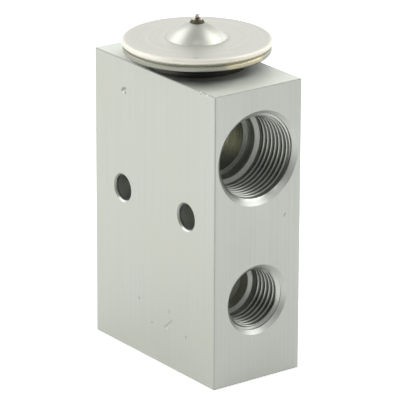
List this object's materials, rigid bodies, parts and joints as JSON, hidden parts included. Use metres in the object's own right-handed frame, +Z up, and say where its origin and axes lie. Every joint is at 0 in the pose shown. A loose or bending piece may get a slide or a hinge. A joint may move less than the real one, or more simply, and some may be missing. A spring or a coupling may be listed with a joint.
{
  "type": "block expansion valve",
  "caption": "Block-type thermostatic expansion valve: bored alloy block with threaded ports, fixing holes and a round welded diaphragm head.",
  "frame": {"origin": "middle of the block's base", "axes": "+Z up through the block to the diaphragm head; -Y is the face with the suction outlet and the liquid inlet; the fixing holes run along X"},
  "size_m": [0.037, 0.05, 0.0874],
  "materials": {
    "block_alloy": "clear matt oxide skin",
    "rod_alloy": "turned",
    "cover_steel": "pressed and welded, bright",
    "turned_steel": "turned",
    "dark_steel": "brown from the weld",
    "spring_steel": "drawn wire",
    "brass": "turned",
    "rubber": "moulded"
  },
  "bodies": {
    "housing": {"valve_body": "block_alloy", "upper_cover": "cover_steel", "charge_ball": "dark_steel", "diaphragm": "turned_steel", "lower_cover": "cover_steel", "threaded_collar": "turned_steel", "head_seal": "rubber", "rod_seal": "rubber", "seal_retainer": "turned_steel", "valve_seat": "turned_steel"},
    "stroke_train": {"support_pad": "brass", "sensing_rod": "rod_alloy", "push_rod": "turned_steel", "valve_ball": "turned_steel", "ball_cup": "brass", "damper_ring": "turned_steel"},
    "adjuster_carrier": {"adjuster_seal": "rubber", "superheat_spring": "spring_steel"},
    "adjuster": {"adjusting_screw": "brass"}
  },
  "joints": [
    {"name": "valve_stroke", "type": "slide", "parent": "housing", "child": "stroke_train", "axis": [0, 0, -1], "range_m": [0, 0.0009], "stiffness_N_per_m": 18000, "deforming": ["diaphragm", "superheat_spring"]},
    {"name": "adjuster_travel", "type": "slide", "parent": "housing", "child": "adjuster_carrier", "axis": [0, 0, 1], "range_m": [-0.001, 0.001], "deforming": ["superheat_spring"]},
    {"name": "adjuster_turn", "type": "hinge", "parent": "adjuster_carrier", "child": "adjuster", "pos_m": [0, 0, 0], "axis": [0, 0, 1], "range_deg": [-360, 360]}
  ],
  "couplings": [
    {"joint": "adjuster_travel", "follows": "adjuster_turn", "m_per_rad": 0.00015915}
  ]
}
